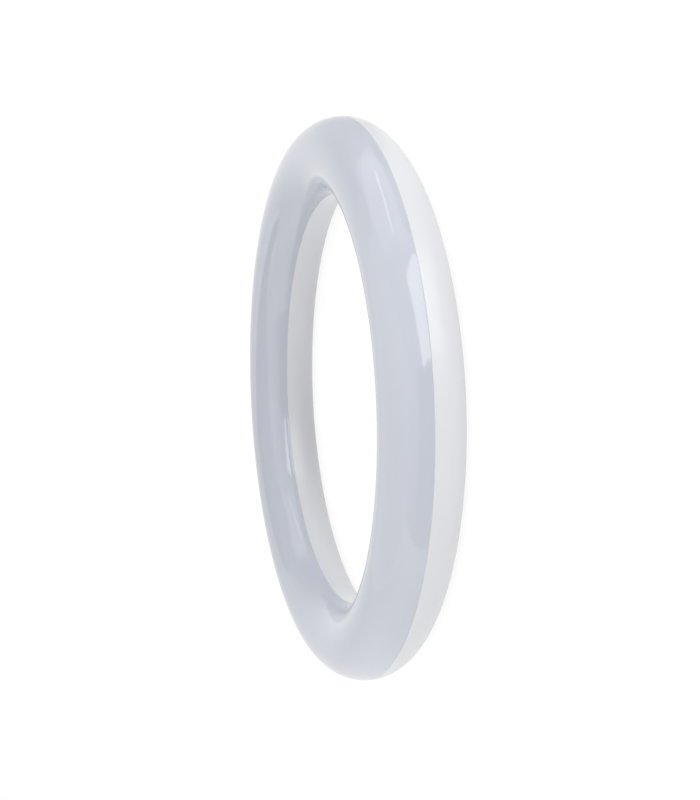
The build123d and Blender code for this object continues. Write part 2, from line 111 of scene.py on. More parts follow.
# Light boards and their led packages
LIGHT_BOARDS = 4
LEDS_PER_BOARD = 18
LED_PITCH = math.radians(90 / LEDS_PER_BOARD)
LED_LENGTH = 3.5 * MM
LED_WIDTH = 2.8 * MM
LED_CUT_CORNER = 0.7 * MM
DISH_SHARE = 0.8  # of the package's size
DISH_DEPTH = 0.12 * MM
DISH_FLOOR_SHARE = 0.88  # of the dish's rim
POUR_HALF_WIDTH = 5.0 * MM  # copper fields, from the board's middle line
POUR_GAP = 0.4 * MM
RAIL_NEAR = 5.4 * MM  # copper rails along both edges, from the board's middle line
RAIL_FAR = 7.6 * MM

# Surfaces
SHELL_IOR = 1.58
PLASTIC_RELIEF = 0.02 * MM
METAL_RELIEF = 0.01 * MM
CLOTH_PITCH = 0.5 * MM  # glass cloth of the printed boards
CLOTH_TONE = 0.96  # share of the mask's tone over a thread
CLOTH_RISE = 0.3  # times the relief
COPPER_RISE = 3.0  # times the relief

# Camera, found from the ring's outlines and its seam
CAMERA_PLACE = Vector((489.96, 6.20, 157.96)) * MM
CAMERA_AIM = Vector((2.7, -0.66, 11.05)) * MM
CAMERA_ROLL = math.radians(92.79)
CAMERA_LENS = 56.42
CAMERA_SENSOR = 36.0
CAMERA_CLIP = (0.01, 100.0)

# Studio
WHITE = (1, 1, 1, 1)
AMBIENT = 0.79  # what the white surroundings give to matt surfaces
FLOOR_SIZE = 24.0
FLOOR_BOUNCE = 0.85
FLOOR_LIFT = 0.10  # light that the floor adds from below
FLOOR_SHADOW_TINT = 0.22
FLOOR_GLOW = 0.86
STUDIO_WALL_RADIUS = 1.4
STUDIO_WALL_STEPS = 24

# Two grey flags, and a shade painted into the floor's colour, by the side of the ring that is far from the
# camera
MATT_FLAG_LEVEL = 0.36
GLOSS_FLAG_LEVEL = 0.50
FLAG_EDGE_X = -75.6  # millimetres, as are the flags' other places
FLAG_EDGE_Z = 118
FLAG_SLOPE = -0.4984
MATT_FLAG = [(FLAG_EDGE_X, -220), (FLAG_EDGE_X, 90), (-140, -10), (-204, -220)]
GLOSS_FLAG = [
    (-45, -8), (-45, 55), (FLAG_EDGE_X, 66), (-130, 40), (-165, 8), (-225, -12), (-225, -52), (-150, -38),
    (-110, -8),
]
# Painted shade: the floor's colour, as matt surfaces see it, is darker round this place
SHADE_PLACE = Vector((-53, -9, 0)) * MM
SHADE_REACH = 43 * MM
SHADE_LEVEL = 0.36


# Node helpers

FLOAT, INT, BOOL, VECTOR = "NodeSocketFloat", "NodeSocketInt", "NodeSocketBool", "NodeSocketVector"
GEOMETRY, MATERIAL, OBJECT = "NodeSocketGeometry", "NodeSocketMaterial", "NodeSocketObject"


def put(tree, kind, inputs=None, **settings):
    """A node with its settings, and its inputs given by name or number as values or as sockets to link."""
    made = tree.nodes.new(kind)
    for name, value in settings.items():
        setattr(made, name, value)
    for key, value in (inputs or {}).items():
        if isinstance(value, bpy.types.NodeSocket):
            tree.links.new(value, made.inputs[key])
        else:
            made.inputs[key].default_value = value
    return made


def calc(tree, operation, *values):
    """The output of a math node."""
    return put(tree, "ShaderNodeMath", dict(enumerate(values)), operation=operation).outputs[0]


def vector_calc(tree, operation, *vectors, **scale):
    """The outputs of a vector math node."""
    inputs = {**dict(enumerate(vectors)), **scale}
    return put(tree, "ShaderNodeVectorMath", inputs, operation=operation).outputs


def split(tree, vector):
    """The X, Y and Z of a vector."""
    return put(tree, "ShaderNodeSeparateXYZ", {0: vector}).outputs


def join(tree, **parts):
    """A vector from its X, Y and Z, each 0 where it is not given."""
    return put(tree, "ShaderNodeCombineXYZ", parts).outputs[0]


def spread(tree, value, from_range, to_range, **settings):
    """A value carried from one range to another."""
    low, high = from_range
    start, end = to_range
    inputs = {"Value": value, "From Min": low, "From Max": high, "To Min": start, "To Max": end}
    return put(tree, "ShaderNodeMapRange", inputs, **settings).outputs[0]


def from_axis(tree, part):
    """Distance from the ring's axis, of a place split into X, Y and Z."""
    squares = calc(tree, "MULTIPLY_ADD", part["X"], part["X"], calc(tree, "MULTIPLY", part["Y"], part["Y"]))
    return calc(tree, "SQRT", squares)


def new_tree(name, kind, inputs, outputs):
    """A node group with sockets listed by type, and the sockets of its input and output nodes."""
    tree = bpy.data.node_groups.new(name, kind)
    for in_out, sockets in (("INPUT", inputs), ("OUTPUT", outputs)):
        for socket_type, labels in sockets.items():
            for label in labels.split(", "):
                tree.interface.new_socket(label, in_out=in_out, socket_type=socket_type)
    return tree, tree.nodes.new("NodeGroupInput").outputs, tree.nodes.new("NodeGroupOutput").inputs


# Geometry node trees

def position(tree):
    """The place of each point."""
    return put(tree, "GeometryNodeInputPosition").outputs[0]


def unit_grid(tree, columns, rows):
    """A grid of one by one about the origin, with its numbers of points."""
    inputs = {"Size X": 1.0, "Size Y": 1.0, "Vertices X": columns, "Vertices Y": rows}
    return put(tree, "GeometryNodeMeshGrid", inputs).outputs["Mesh"]


def block(tree, **size):
    """A block about the origin, with its size in X, Y and Z."""
    return put(tree, "GeometryNodeMeshCube", {"Size": join(tree, **size)}).outputs["Mesh"]


def moved(tree, mesh, place):
    """A mesh with its points at new places."""
    return put(tree, "GeometryNodeSetPosition", {"Geometry": mesh, "Position": place}).outputs[0]


def merged(tree, mesh, distance):
    """A mesh with its doubled points joined."""
    return put(tree, "GeometryNodeMergeByDistance", {"Geometry": mesh, "Distance": distance}).outputs[0]


def boolean(tree, operation, others, first=None):
    """Solids fused together, or taken out of the first one."""
    made = put(tree, "GeometryNodeMeshBoolean", operation=operation, solver="MANIFOLD")
    if first is not None:
        tree.links.new(first, made.inputs["Mesh 1"])
    for other in others:
        tree.links.new(other, made.inputs["Mesh 2"])
    return made.outputs["Mesh"]


def rotation(tree, euler):
    """A rotation from its angles."""
    return put(tree, "FunctionNodeEulerToRotation", {0: euler}).outputs[0]


def real_copies(tree, points, instance, turn):
    """A turned copy at each point, made real."""
    inputs = {"Points": points, "Instance": instance, "Rotation": turn}
    placed = put(tree, "GeometryNodeInstanceOnPoints", inputs)
    return put(tree, "GeometryNodeRealizeInstances", {"Geometry": placed.outputs[0]}).outputs[0]


def finish_mesh(tree, mesh, sharp_angle, material):
    """Smooth shading broken at sharp edges, with all instances made real and the material set."""
    smooth = put(tree, "GeometryNodeSetShadeSmooth", {"Geometry": mesh}, domain="FACE").outputs[0]
    edge_angle = put(tree, "GeometryNodeInputMeshEdgeAngle").outputs["Unsigned Angle"]
    is_sharp = calc(tree, "GREATER_THAN", edge_angle, sharp_angle)
    inputs = {"Geometry": smooth, "Selection": is_sharp, "Shade Smooth": False}
    sharp = put(tree, "GeometryNodeSetShadeSmooth", inputs, domain="EDGE").outputs[0]
    realized = put(tree, "GeometryNodeRealizeInstances", {"Geometry": sharp}).outputs[0]
    return put(tree, "GeometryNodeSetMaterial", {"Geometry": realized, "Material": material}).outputs[0]


def round_wall_tree():
    """A closed round wall of a ring, above or below a seam: two arcs swept about the ring's axis."""
    tree, given, result = new_tree(
        "Round Wall",
        "GeometryNodeTree",
        {
            FLOAT: "Ring Radius, Tube Height, Outer Radius, Wall, Seam Rise, Side",
            INT: "Ring Segments, Arc Segments",
        },
        {GEOMETRY: "Geometry"},
    )
    loop = calc(tree, "MULTIPLY_ADD", given["Arc Segments"], 2.0, 2.0)
    grid = unit_grid(tree, calc(tree, "ADD", given["Ring Segments"], 1.0), calc(tree, "ADD", loop, 1.0))
    place = split(tree, position(tree))
    turn = calc(tree, "MULTIPLY", calc(tree, "ADD", place["X"], 0.5), math.tau)
    row = calc(tree, "ROUND", calc(tree, "MULTIPLY", calc(tree, "ADD", place["Y"], 0.5), loop))
    row = calc(tree, "FLOORED_MODULO", row, loop)
    inner = calc(tree, "GREATER_THAN", row, calc(tree, "ADD", given["Arc Segments"], 0.5))
    back_row = calc(tree, "SUBTRACT", calc(tree, "SUBTRACT", loop, 1.0), row)
    step = calc(tree, "ADD", row, calc(tree, "MULTIPLY", inner, calc(tree, "SUBTRACT", back_row, row)))
    share = calc(tree, "SUBTRACT", calc(tree, "DIVIDE", step, given["Arc Segments"]), 0.5)
    radius = calc(tree, "SUBTRACT", given["Outer Radius"], calc(tree, "MULTIPLY", inner, given["Wall"]))
    seam_angle = calc(tree, "ARCSINE", calc(tree, "DIVIDE", given["Seam Rise"], radius))
    past_seam = calc(tree, "MULTIPLY", calc(tree, "MULTIPLY", seam_angle, 2.0), given["Side"])
    sweep = calc(tree, "SUBTRACT", math.pi, past_seam)
    angle = calc(tree, "MULTIPLY_ADD", share, sweep, calc(tree, "MULTIPLY", given["Side"], math.pi / 2))
    reach = calc(tree, "MULTIPLY_ADD", calc(tree, "COSINE", angle), radius, given["Ring Radius"])
    point = join(
        tree,
        X=calc(tree, "MULTIPLY", reach, calc(tree, "COSINE", turn)),
        Y=calc(tree, "MULTIPLY", reach, calc(tree, "SINE", turn)),
        Z=calc(tree, "MULTIPLY_ADD", calc(tree, "SINE", angle), radius, given["Tube Height"]),
    )
    tree.links.new(merged(tree, moved(tree, grid, point), 1e-6), result["Geometry"])
    return tree


def smooth_moulding_tree(round_wall):
    """A moulding with its facetted round outside sunk a little and a smooth wall fused over it."""
    tree, given, result = new_tree(
        "Smooth Moulding",
        "GeometryNodeTree",
        {
            GEOMETRY: "Geometry",
            FLOAT: "Ring Radius, Tube Height, Tube Radius, Skin, Seam Height, Seam Land, Land Margin, Side, "
            "Sink, Margin, Opening Near, Opening Far, Opening Width, Opening Height, Opening Level, "
            "Sharp Angle",
            INT: "Ring Segments, Arc Segments",
            MATERIAL: "Finish",
        },
        {GEOMETRY: "Geometry"},
    )

    # Facets of the round outside, pulled towards the middle of the tube
    place = position(tree)
    part = split(tree, place)
    ring_distance = from_axis(tree, part)
    outward = join(
        tree,
        X=calc(tree, "DIVIDE", part["X"], ring_distance),
        Y=calc(tree, "DIVIDE", part["Y"], ring_distance),
    )
    middle = vector_calc(tree, "SCALE", outward, Scale=given["Ring Radius"])[0]
    middle = vector_calc(tree, "ADD", middle, join(tree, Z=given["Tube Height"]))[0]
    arm = vector_calc(tree, "SUBTRACT", place, middle)[0]
    arm_length = vector_calc(tree, "LENGTH", arm)["Value"]
    arm_unit = vector_calc(tree, "NORMALIZE", arm)[0]
    off_wall = calc(tree, "ABSOLUTE", calc(tree, "SUBTRACT", arm_length, given["Tube Radius"]))
    from_seam = calc(tree, "MULTIPLY", calc(tree, "SUBTRACT", part["Z"], given["Seam Height"]), given["Side"])
    kept_strip = calc(tree, "MULTIPLY", given["Seam Land"], given["Land Margin"])
    near_wall = calc(tree, "LESS_THAN", off_wall, given["Margin"])
    on_wall = calc(tree, "MULTIPLY", near_wall, calc(tree, "GREATER_THAN", from_seam, kept_strip))
    inwards = vector_calc(tree, "SCALE", arm_unit, Scale=calc(tree, "MULTIPLY", given["Sink"], -1.0))[0]
    facets = {"Geometry": merged(tree, given["Geometry"], 2e-7), "Selection": on_wall, "Offset": inwards}
    sunk = put(tree, "GeometryNodeSetPosition", facets).outputs[0]

    # Smooth wall, open where the opening is
    land_height = calc(tree, "MULTIPLY_ADD", given["Seam Land"], given["Side"], given["Seam Height"])
    wall_values = {
        "Ring Radius": given["Ring Radius"],
        "Tube Height": given["Tube Height"],
        "Outer Radius": given["Tube Radius"],
        "Wall": given["Skin"],
        "Seam Rise": calc(tree, "SUBTRACT", land_height, given["Tube Height"]),
        "Side": given["Side"],
        "Ring Segments": given["Ring Segments"],
        "Arc Segments": given["Arc Segments"],
    }
    wall = put(tree, "GeometryNodeGroup", wall_values, node_tree=round_wall).outputs[0]
    depth = calc(tree, "SUBTRACT", given["Opening Far"], given["Opening Near"])
    opening = block(tree, X=depth, Y=given["Opening Width"], Z=given["Opening Height"])
    opening_middle = calc(tree, "MULTIPLY_ADD", depth, 0.5, given["Opening Near"])
    shift = {"Geometry": opening, "Translation": join(tree, X=opening_middle, Z=given["Opening Level"])}
    opening = put(tree, "GeometryNodeTransform", shift).outputs[0]
    fused = boolean(tree, "UNION", [sunk, boolean(tree, "DIFFERENCE", [opening], wall)])
    tree.links.new(finish_mesh(tree, fused, given["Sharp Angle"], given["Finish"]), result["Geometry"])
    return tree


def turned_part_tree():
    """A turned pin or screw at every given point: an outline spun about its axis, with a recess or none."""
    tree, given, result = new_tree(
        "Turned Part",
        "GeometryNodeTree",
        {
            GEOMETRY: "Geometry",
            OBJECT: "Outline",
            VECTOR: "Axis Turn",
            INT: "Ring Segments, Turn Seed",
            BOOL: "Has Recess",
            FLOAT: "Recess Reach, Recess Width, Recess Depth, Recess Mouth, Recess End, Sharp Angle",
            MATERIAL: "Finish",
        },
        {GEOMETRY: "Geometry"},
    )

    # Outline spun about the local x axis
    outline = put(tree, "GeometryNodeObjectInfo", {"Object": given["Outline"]}).outputs["Geometry"]
    stations = put(tree, "GeometryNodeAttributeDomainSize", {"Geometry": outline}).outputs["Point Count"]
    grid = unit_grid(tree, stations, calc(tree, "ADD", given["Ring Segments"], 1.0))
    place = position(tree)
    share = split(tree, place)
    last = calc(tree, "SUBTRACT", stations, 1.0)
    station = calc(tree, "ROUND", calc(tree, "MULTIPLY", calc(tree, "ADD", share["X"], 0.5), last))
    turn = calc(tree, "MULTIPLY", calc(tree, "SUBTRACT", 0.5, share["Y"]), math.tau)
    sample = {"Geometry": outline, "Value": place, "Index": station}
    drawn = split(tree, put(tree, "GeometryNodeSampleIndex", sample, data_type="FLOAT_VECTOR").outputs[0])
    spun_place = join(
        tree,
        X=drawn["X"],
        Y=calc(tree, "MULTIPLY", drawn["Y"], calc(tree, "COSINE", turn)),
        Z=calc(tree, "MULTIPLY", drawn["Y"], calc(tree, "SINE", turn)),
    )
    closed = merged(tree, moved(tree, grid, spun_place), 1e-6)

    # Cross recess: two tapered blades taken out of the head
    blade = block(
        tree,
        X=calc(tree, "MULTIPLY", given["Recess Depth"], 2.0),
        Y=calc(tree, "MULTIPLY", given["Recess Reach"], 2.0),
        Z=given["Recess Width"],
    )
    corner = split(tree, position(tree))
    down = calc(tree, "DIVIDE", corner["X"], given["Recess Depth"])
    narrow = spread(tree, down, (-1.0, 1.0), (given["Recess Mouth"], given["Recess End"]))
    tapered_place = join(
        tree,
        X=corner["X"],
        Y=calc(tree, "MULTIPLY", corner["Y"], narrow),
        Z=calc(tree, "MULTIPLY", corner["Z"], narrow),
    )
    tapered = moved(tree, blade, tapered_place)
    quarter_turn = {"Geometry": tapered, "Rotation": (math.pi / 2, 0, 0)}
    crossed = put(tree, "GeometryNodeTransform", quarter_turn).outputs[0]
    cut = boolean(tree, "DIFFERENCE", [tapered, crossed], closed)
    choice = {"Switch": given["Has Recess"], "False": closed, "True": cut}
    part = put(tree, "GeometryNodeSwitch", choice, input_type="GEOMETRY").outputs[0]

    # One part at each point, each driven home to its own angle
    draw = {"Max": math.tau, "Seed": given["Turn Seed"]}
    home = put(tree, "FunctionNodeRandomValue", draw, data_type="FLOAT")
    home_angle = [socket for socket in home.outputs if socket.enabled][0]
    turns = {0: rotation(tree, given["Axis Turn"]), 1: rotation(tree, join(tree, X=home_angle))}
    aimed = put(tree, "FunctionNodeRotateRotation", turns, rotation_space="LOCAL").outputs[0]
    real = real_copies(tree, given["Geometry"], part, aimed)
    tree.links.new(finish_mesh(tree, real, given["Sharp Angle"], given["Finish"]), result["Geometry"])
    return tree


def extruded(tree, mesh, offset, selection=True):
    """The outputs of an extrusion of the chosen faces as one."""
    inputs = {"Mesh": mesh, "Selection": selection, "Offset Scale": offset, "Individual": False}
    return put(tree, "GeometryNodeExtrudeMesh", inputs, mode="FACES").outputs


def scaled_faces(tree, mesh, selection, scale):
    """A mesh with the chosen faces scaled about their middle."""
    inputs = {"Geometry": mesh, "Selection": selection, "Scale": scale}
    return put(tree, "GeometryNodeScaleElements", inputs, domain="FACE").outputs[0]


def led_row_tree():
    """A row of led packages along the ring, each a low block with a cut corner and a dish of phosphor."""
    tree, given, result = new_tree(
        "Led Row",
        "GeometryNodeTree",
        {
            FLOAT: "Ring Radius, Board Level, First Angle, Pitch Angle, Length, Width, Height, Cut Corner, "
            "Dish Share, Dish Depth, Dish Floor Share",
            INT: "Count",
            MATERIAL: "Package, Phosphor",
        },
        {GEOMETRY: "Geometry"},
    )
    half_length = calc(tree, "MULTIPLY", given["Length"], 0.5)
    half_width = calc(tree, "MULTIPLY", given["Width"], 0.5)
    back = calc(tree, "MULTIPLY", half_length, -1.0)
    side = calc(tree, "MULTIPLY", half_width, -1.0)
    corners = [
        (half_length, calc(tree, "SUBTRACT", half_width, given["Cut Corner"])),
        (calc(tree, "SUBTRACT", half_length, given["Cut Corner"]), half_width),
        (back, half_width),
        (back, side),
        (half_length, side),
    ]
    index = put(tree, "GeometryNodeInputIndex").outputs[0]
    pick = put(tree, "GeometryNodeIndexSwitch", {"Index": index}, data_type="VECTOR")
    while len(pick.index_switch_items) < len(corners):
        pick.index_switch_items.new()
    for number, (x, y) in enumerate(corners):
        tree.links.new(join(tree, X=x, Y=y), pick.inputs[1 + number])
    base = put(tree, "GeometryNodeMeshCircle", {"Vertices": len(corners)}, fill_type="NGON")
    base = moved(tree, base.outputs["Mesh"], pick.outputs[0])
    under = put(tree, "GeometryNodeFlipFaces", {"Mesh": base}).outputs[0]
    raised = extruded(tree, base, given["Height"])
    rim = extruded(tree, raised["Mesh"], 0.0, raised["Top"])
    rim_inner = scaled_faces(tree, rim["Mesh"], rim["Top"], given["Dish Share"])
    dish = extruded(tree, rim_inner, calc(tree, "MULTIPLY", given["Dish Depth"], -1.0), rim["Top"])
    whole = put(tree, "GeometryNodeJoinGeometry")
    for mesh in (scaled_faces(tree, dish["Mesh"], dish["Top"], given["Dish Floor Share"]), under):
        tree.links.new(mesh, whole.inputs[0])
    package = merged(tree, whole.outputs[0], 1e-7)

    # One package at each step round the ring
    step = put(tree, "GeometryNodeInputIndex").outputs[0]
    angle = calc(tree, "MULTIPLY_ADD", step, given["Pitch Angle"], given["First Angle"])
    spot = join(
        tree,
        X=calc(tree, "MULTIPLY", calc(tree, "COSINE", angle), given["Ring Radius"]),
        Y=calc(tree, "MULTIPLY", calc(tree, "SINE", angle), given["Ring Radius"]),
        Z=given["Board Level"],
    )
    spots = put(tree, "GeometryNodePoints", {"Count": given["Count"], "Position": spot}).outputs[0]
    real = real_copies(tree, spots, package, rotation(tree, join(tree, Z=angle)))
    white = put(tree, "GeometryNodeSetMaterial", {"Geometry": real, "Material": given["Package"]}).outputs[0]
    dishes = {"Geometry": white, "Selection": dish["Top"], "Material": given["Phosphor"]}
    tree.links.new(put(tree, "GeometryNodeSetMaterial", dishes).outputs[0], result["Geometry"])
    return tree


def grow(name, tree, values, mesh=None):
    """An object with the tree's result as its plain mesh."""
    made = bpy.data.objects.new(name, mesh or bpy.data.meshes.new(name))
    bpy.context.scene.collection.objects.link(made)
    modifier = made.modifiers.new("Grow", "NODES")
    modifier.node_group = tree
    for item in tree.interface.items_tree:
        if item.in_out == "INPUT" and item.name in values:
            modifier[item.identifier] = values[item.name]
    evaluated = made.evaluated_get(bpy.context.evaluated_depsgraph_get())
    plain = bpy.data.meshes.new_from_object(evaluated)
    plain.name = name
    made.modifiers.clear()
    made.data = plain
    return made


# Materials

def object_place(tree):
    """The place on a piece, in Object coordinates."""
    return put(tree, "ShaderNodeTexCoord").outputs["Object"]


def noise(tree, place, scale, detail, roughness):
    """The value of a noise texture."""
    inputs = {"Vector": place, "Scale": scale, "Detail": detail, "Roughness": roughness}
    return put(tree, "ShaderNodeTexNoise", inputs).outputs[0]


def moulded_skin_group():
    """Fine surface of an injection moulding: faint mottling, uneven gloss and a shallow orange peel."""
    tree, given, result = new_tree(
        "Moulded Skin",
        "ShaderNodeTree",
        {FLOAT: "Cloud Size, Peel Size, Gloss Low, Gloss High"},
        {FLOAT: "Cloud, Roughness, Height"},
    )
    place = object_place(tree)
    cloud_scale = calc(tree, "DIVIDE", 1.0, given["Cloud Size"])
    peel_scale = calc(tree, "DIVIDE", 1.0, given["Peel Size"])
    uneven = noise(tree, place, calc(tree, "MULTIPLY", peel_scale, 0.22), detail=4.0, roughness=0.6)
    roughness = spread(tree, uneven, (0.3, 0.7), (given["Gloss Low"], given["Gloss High"]))
    tree.links.new(noise(tree, place, cloud_scale, detail=3.0, roughness=0.55), result["Cloud"])
    tree.links.new(roughness, result["Roughness"])
    tree.links.new(noise(tree, place, peel_scale, detail=2.0, roughness=0.45), result["Height"])
    return tree


def plated_metal_group():
    """Drawn or plated metal: a fine grain, drawn out where the metal was turned, and a cloudy tarnish."""
    tree, given, result = new_tree(
        "Plated Metal",
        "ShaderNodeTree",
        {FLOAT: "Grain Size, Tarnish Size, Gloss Low, Gloss High", VECTOR: "Draw"},
        {FLOAT: "Tarnish, Roughness, Height"},
    )
    place = object_place(tree)
    drawn = vector_calc(tree, "MULTIPLY", place, given["Draw"])[0]
    grain_scale = calc(tree, "DIVIDE", 1.0, given["Grain Size"])
    tarnish_scale = calc(tree, "DIVIDE", 1.0, given["Tarnish Size"])
    grain = noise(tree, drawn, grain_scale, detail=3.0, roughness=0.6)
    tarnish = noise(tree, place, tarnish_scale, detail=4.0, roughness=0.6)
    worn = calc(tree, "ADD", calc(tree, "MULTIPLY", grain, 0.6), calc(tree, "MULTIPLY", tarnish, 0.4))
    roughness = spread(tree, worn, (0.35, 0.65), (given["Gloss Low"], given["Gloss High"]))
    tree.links.new(tarnish, result["Tarnish"])
    tree.links.new(roughness, result["Roughness"])
    tree.links.new(grain, result["Height"])
    return tree


def board_weave_group():
    """Glass cloth that shows faintly through the mask of a printed board."""
    tree, given, result = new_tree("Board Weave", "ShaderNodeTree", {FLOAT: "Thread Pitch"}, {FLOAT: "Weave"})
    turns = calc(tree, "DIVIDE", math.tau, given["Thread Pitch"])
    thread = split(tree, vector_calc(tree, "SCALE", object_place(tree), Scale=turns)[0])
    over = calc(tree, "MULTIPLY", calc(tree, "SINE", thread["X"]), calc(tree, "SINE", thread["Y"]))
    tree.links.new(calc(tree, "MULTIPLY_ADD", over, 0.5, 0.5), result["Weave"])
    return tree


MOULDED_SKIN = moulded_skin_group()
PLATED_METAL = plated_metal_group()
BOARD_WEAVE = board_weave_group()


def new_material(name):
    """A material with only its output and one Principled shader, its tree and that shader."""
    material = bpy.data.materials.new(name)
    material.use_nodes = True
    tree = material.node_tree
    return material, tree, tree.nodes["Principled BSDF"]


def colour_mix(tree, factor, first, second):
    """The output of a mix of two colours, each given as three numbers or as a socket."""
    sides = [side if isinstance(side, bpy.types.NodeSocket) else (*side, 1.0) for side in (first, second)]
    inputs = {"Factor": factor, "A": sides[0], "B": sides[1]}
    return put(tree, "ShaderNodeMix", inputs, data_type="RGBA").outputs["Result"]


def skin_outputs(tree, cloud, peel, gloss):
    """The moulded skin with its sizes and its range of gloss."""
    inputs = {"Cloud Size": cloud, "Peel Size": peel, "Gloss Low": gloss[0], "Gloss High": gloss[1]}
    return put(tree, "ShaderNodeGroup", inputs, node_tree=MOULDED_SKIN).outputs


def link_surface(tree, shader, tone, roughness, height, bump, relief):
    """Gives a shader its tone, its roughness and its small bumps."""
    lumps = put(tree, "ShaderNodeBump", {"Strength": bump, "Distance": relief, "Height": height})
    tree.links.new(tone, shader.inputs["Base Color"])
    tree.links.new(roughness, shader.inputs["Roughness"])
    tree.links.new(lumps.outputs[0], shader.inputs["Normal"])


def moulded_plastic(name, light, deep, cloud, peel, gloss, bump, ior=None):
    """Moulded plastic between two close tones, with the skin's gloss and orange peel."""
    material, tree, shader = new_material(name)
    skin = skin_outputs(tree, cloud, peel, gloss)
    tone = colour_mix(tree, skin["Cloud"], light, deep)
    link_surface(tree, shader, tone, skin["Roughness"], skin["Height"], bump, PLASTIC_RELIEF)
    if ior is not None:
        shader.inputs["IOR"].default_value = ior
    return material


def metal(name, clean, dull, grain, tarnish, gloss, bump, draw=(1.0, 1.0, 1.0)):
    """Bare or plated metal between a clean and a dull tone."""
    material, tree, shader = new_material(name)
    inputs = {"Grain Size": grain, "Tarnish Size": tarnish, "Gloss Low": gloss[0], "Gloss High": gloss[1]}
    skin = put(tree, "ShaderNodeGroup", {"Draw": draw, **inputs}, node_tree=PLATED_METAL).outputs
    tone = colour_mix(tree, skin["Tarnish"], clean, dull)
    link_surface(tree, shader, tone, skin["Roughness"], skin["Height"], bump, METAL_RELIEF)
    shader.inputs["Metallic"].default_value = 1.0
    return material


def printed_board(name, mask_over_glass, mask_over_copper, copper_mask):
    """A printed board: its mask is a tone lighter over copper, with the glass cloth faint below it."""
    material, tree, shader = new_material(name)
    cloth = put(tree, "ShaderNodeGroup", {"Thread Pitch": CLOTH_PITCH}, node_tree=BOARD_WEAVE)
    weave = cloth.outputs["Weave"]
    skin = skin_outputs(tree, cloud=8 * MM, peel=0.5 * MM, gloss=(0.38, 0.48))
    copper = copper_mask(tree)
    glass_tone = colour_mix(tree, weave, mask_over_glass, [CLOTH_TONE * part for part in mask_over_glass])
    tone = colour_mix(tree, copper, glass_tone, mask_over_copper)
    cloth_height = calc(tree, "MULTIPLY", weave, CLOTH_RISE)
    height = calc(tree, "ADD", calc(tree, "MULTIPLY", copper, COPPER_RISE), cloth_height)
    link_surface(tree, shader, tone, skin["Roughness"], height, bump=0.4, relief=PLASTIC_RELIEF)
    return material


def ring_place(tree):
    """Distance from the ring's axis and angle round it, of a point on a piece."""
    part = split(tree, object_place(tree))
    return from_axis(tree, part), calc(tree, "ARCTAN2", part["Y"], part["X"])


def led_pours(tree):
    """1 on the copper fields and rails of a light board, 0 in the gaps that part them."""
    reach, angle = ring_place(tree)
    across = calc(tree, "ABSOLUTE", calc(tree, "SUBTRACT", reach, RING_R))
    step = calc(tree, "FRACT", calc(tree, "DIVIDE", calc(tree, "ADD", angle, math.tau), LED_PITCH))
    from_led = calc(tree, "ABSOLUTE", calc(tree, "SUBTRACT", step, 0.5))
    along = calc(tree, "MULTIPLY", from_led, LED_PITCH * RING_R)
    inside = calc(tree, "LESS_THAN", across, POUR_HALF_WIDTH)
    field = calc(tree, "MULTIPLY", inside, calc(tree, "GREATER_THAN", along, POUR_GAP / 2))
    past_near = calc(tree, "GREATER_THAN", across, RAIL_NEAR)
    rails = calc(tree, "MULTIPLY", past_near, calc(tree, "LESS_THAN", across, RAIL_FAR))
    return calc(tree, "MAXIMUM", field, rails)


def driver_tracks(tree):
    """1 on the copper of the driver board, in blocks parted by narrow gaps."""
    slant = {"Vector": object_place(tree), "Rotation": (0, 0, math.radians(45))}
    turned = put(tree, "ShaderNodeMapping", slant).outputs[0]
    block_sizes = {"Scale": 90.0, "Brick Width": 0.75, "Row Height": 0.32}
    gaps = {"Mortar Size": 0.03, "Mortar Smooth": 0.1}
    blocks = put(tree, "ShaderNodeTexBrick", {"Vector": turned, **block_sizes, **gaps})
    return calc(tree, "SUBTRACT", 1.0, blocks.outputs["Fac"])


def middle_angle(node):
    """Angle round the ring of the middle of a CAD node."""
    low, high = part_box(node)
    middle = (low + high) / 2
    return math.atan2(middle.y, middle.x)


def banded_body(name, node, light, deep, band_tone, band_places, band_width, gloss):
    """A small lacquered body that lies along the ring, with bands across it."""
    material = moulded_plastic(name, light, deep, cloud=3 * MM, peel=0.5 * MM, gloss=gloss, bump=0.1)
    tree = material.node_tree
    base_colour = tree.nodes["Principled BSDF"].inputs["Base Color"]
    body_tone = base_colour.links[0].from_socket
    off_middle = calc(tree, "SUBTRACT", ring_place(tree)[1], middle_angle(node))
    along = calc(tree, "MULTIPLY", off_middle, RING_R)
    bands = 0.0
    for place in band_places:
        off = calc(tree, "ABSOLUTE", calc(tree, "SUBTRACT", along, place))
        bands = calc(tree, "MAXIMUM", bands, calc(tree, "LESS_THAN", off, band_width / 2))
    tree.links.new(colour_mix(tree, bands, body_tone, band_tone), base_colour)
    return material


def can_sleeve(name, node, mark_place):
    """Dark sleeve of a capacitor can, with one light mark across it."""
    return banded_body(
        name, node, (0.006, 0.007, 0.012), (0.009, 0.011, 0.017), band_tone=(0.45, 0.46, 0.48),
        band_places=(mark_place,), band_width=0.7 * MM, gloss=(0.24, 0.36),
    )


def lead_insulation(name, light, deep):
    """Soft plastic round a lead."""
    return moulded_plastic(name, light, deep, cloud=4 * MM, peel=0.5 * MM, gloss=(0.30, 0.42), bump=0.2)


